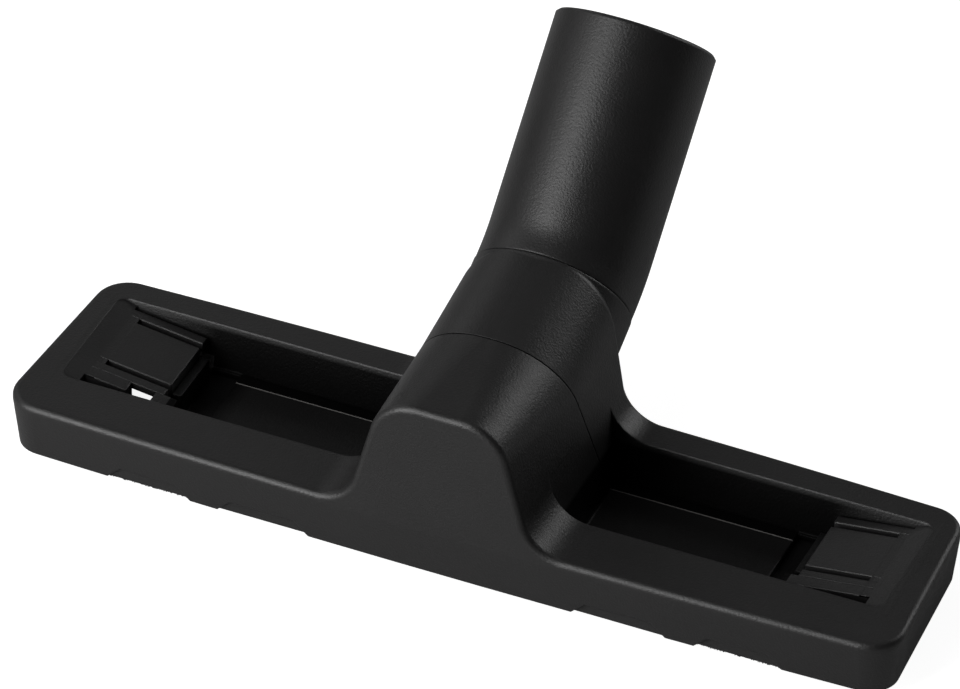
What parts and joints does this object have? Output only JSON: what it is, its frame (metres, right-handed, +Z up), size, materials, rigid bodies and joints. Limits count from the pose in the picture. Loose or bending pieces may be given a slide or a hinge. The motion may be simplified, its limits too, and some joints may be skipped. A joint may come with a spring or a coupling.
{
  "type": "vacuum floor brush head",
  "caption": "Wide flat vacuum floor head with a hollow dome and a swivelling elbow socket, open side wells with latch tongues, and a clip-in sole plate with bristle rows.",
  "frame": {"origin": "on the floor, under the middle of the flat head's outline", "axes": "X runs along the head, Y points to the rear where the elbow goes, Z is up"},
  "size_m": [0.2398, 0.135, 0.1043],
  "materials": {
    "housing_plastic": "black moulded plastic with a fine grain",
    "elbow_plastic": "black moulded plastic with a fine grain",
    "ring_plastic": "black springy plastic, smooth",
    "seal_rubber": "black soft rubber",
    "carrier_plastic": "black moulded plastic with a fine grain",
    "backing_plastic": "black plastic strip",
    "bristle": "black nylon filament"
  },
  "bodies": {
    "head": {"front_housing": "housing_plastic", "rear_housing": "housing_plastic", "retaining_ring": "ring_plastic", "brush_carrier": "carrier_plastic", "front_brush_backing": "backing_plastic", "rear_brush_backing": "backing_plastic", "front_bristles": "bristle", "rear_bristles": "bristle"},
    "elbow": {"swivel_elbow": "elbow_plastic", "neck_seal": "seal_rubber"}
  },
  "joints": [
    {"name": "neck_swivel", "type": "hinge", "parent": "head", "child": "elbow", "pos_m": [0, 0.0388, 0.0437], "axis": [0, 0.8829, 0.4695], "continuous": true}
  ]
}
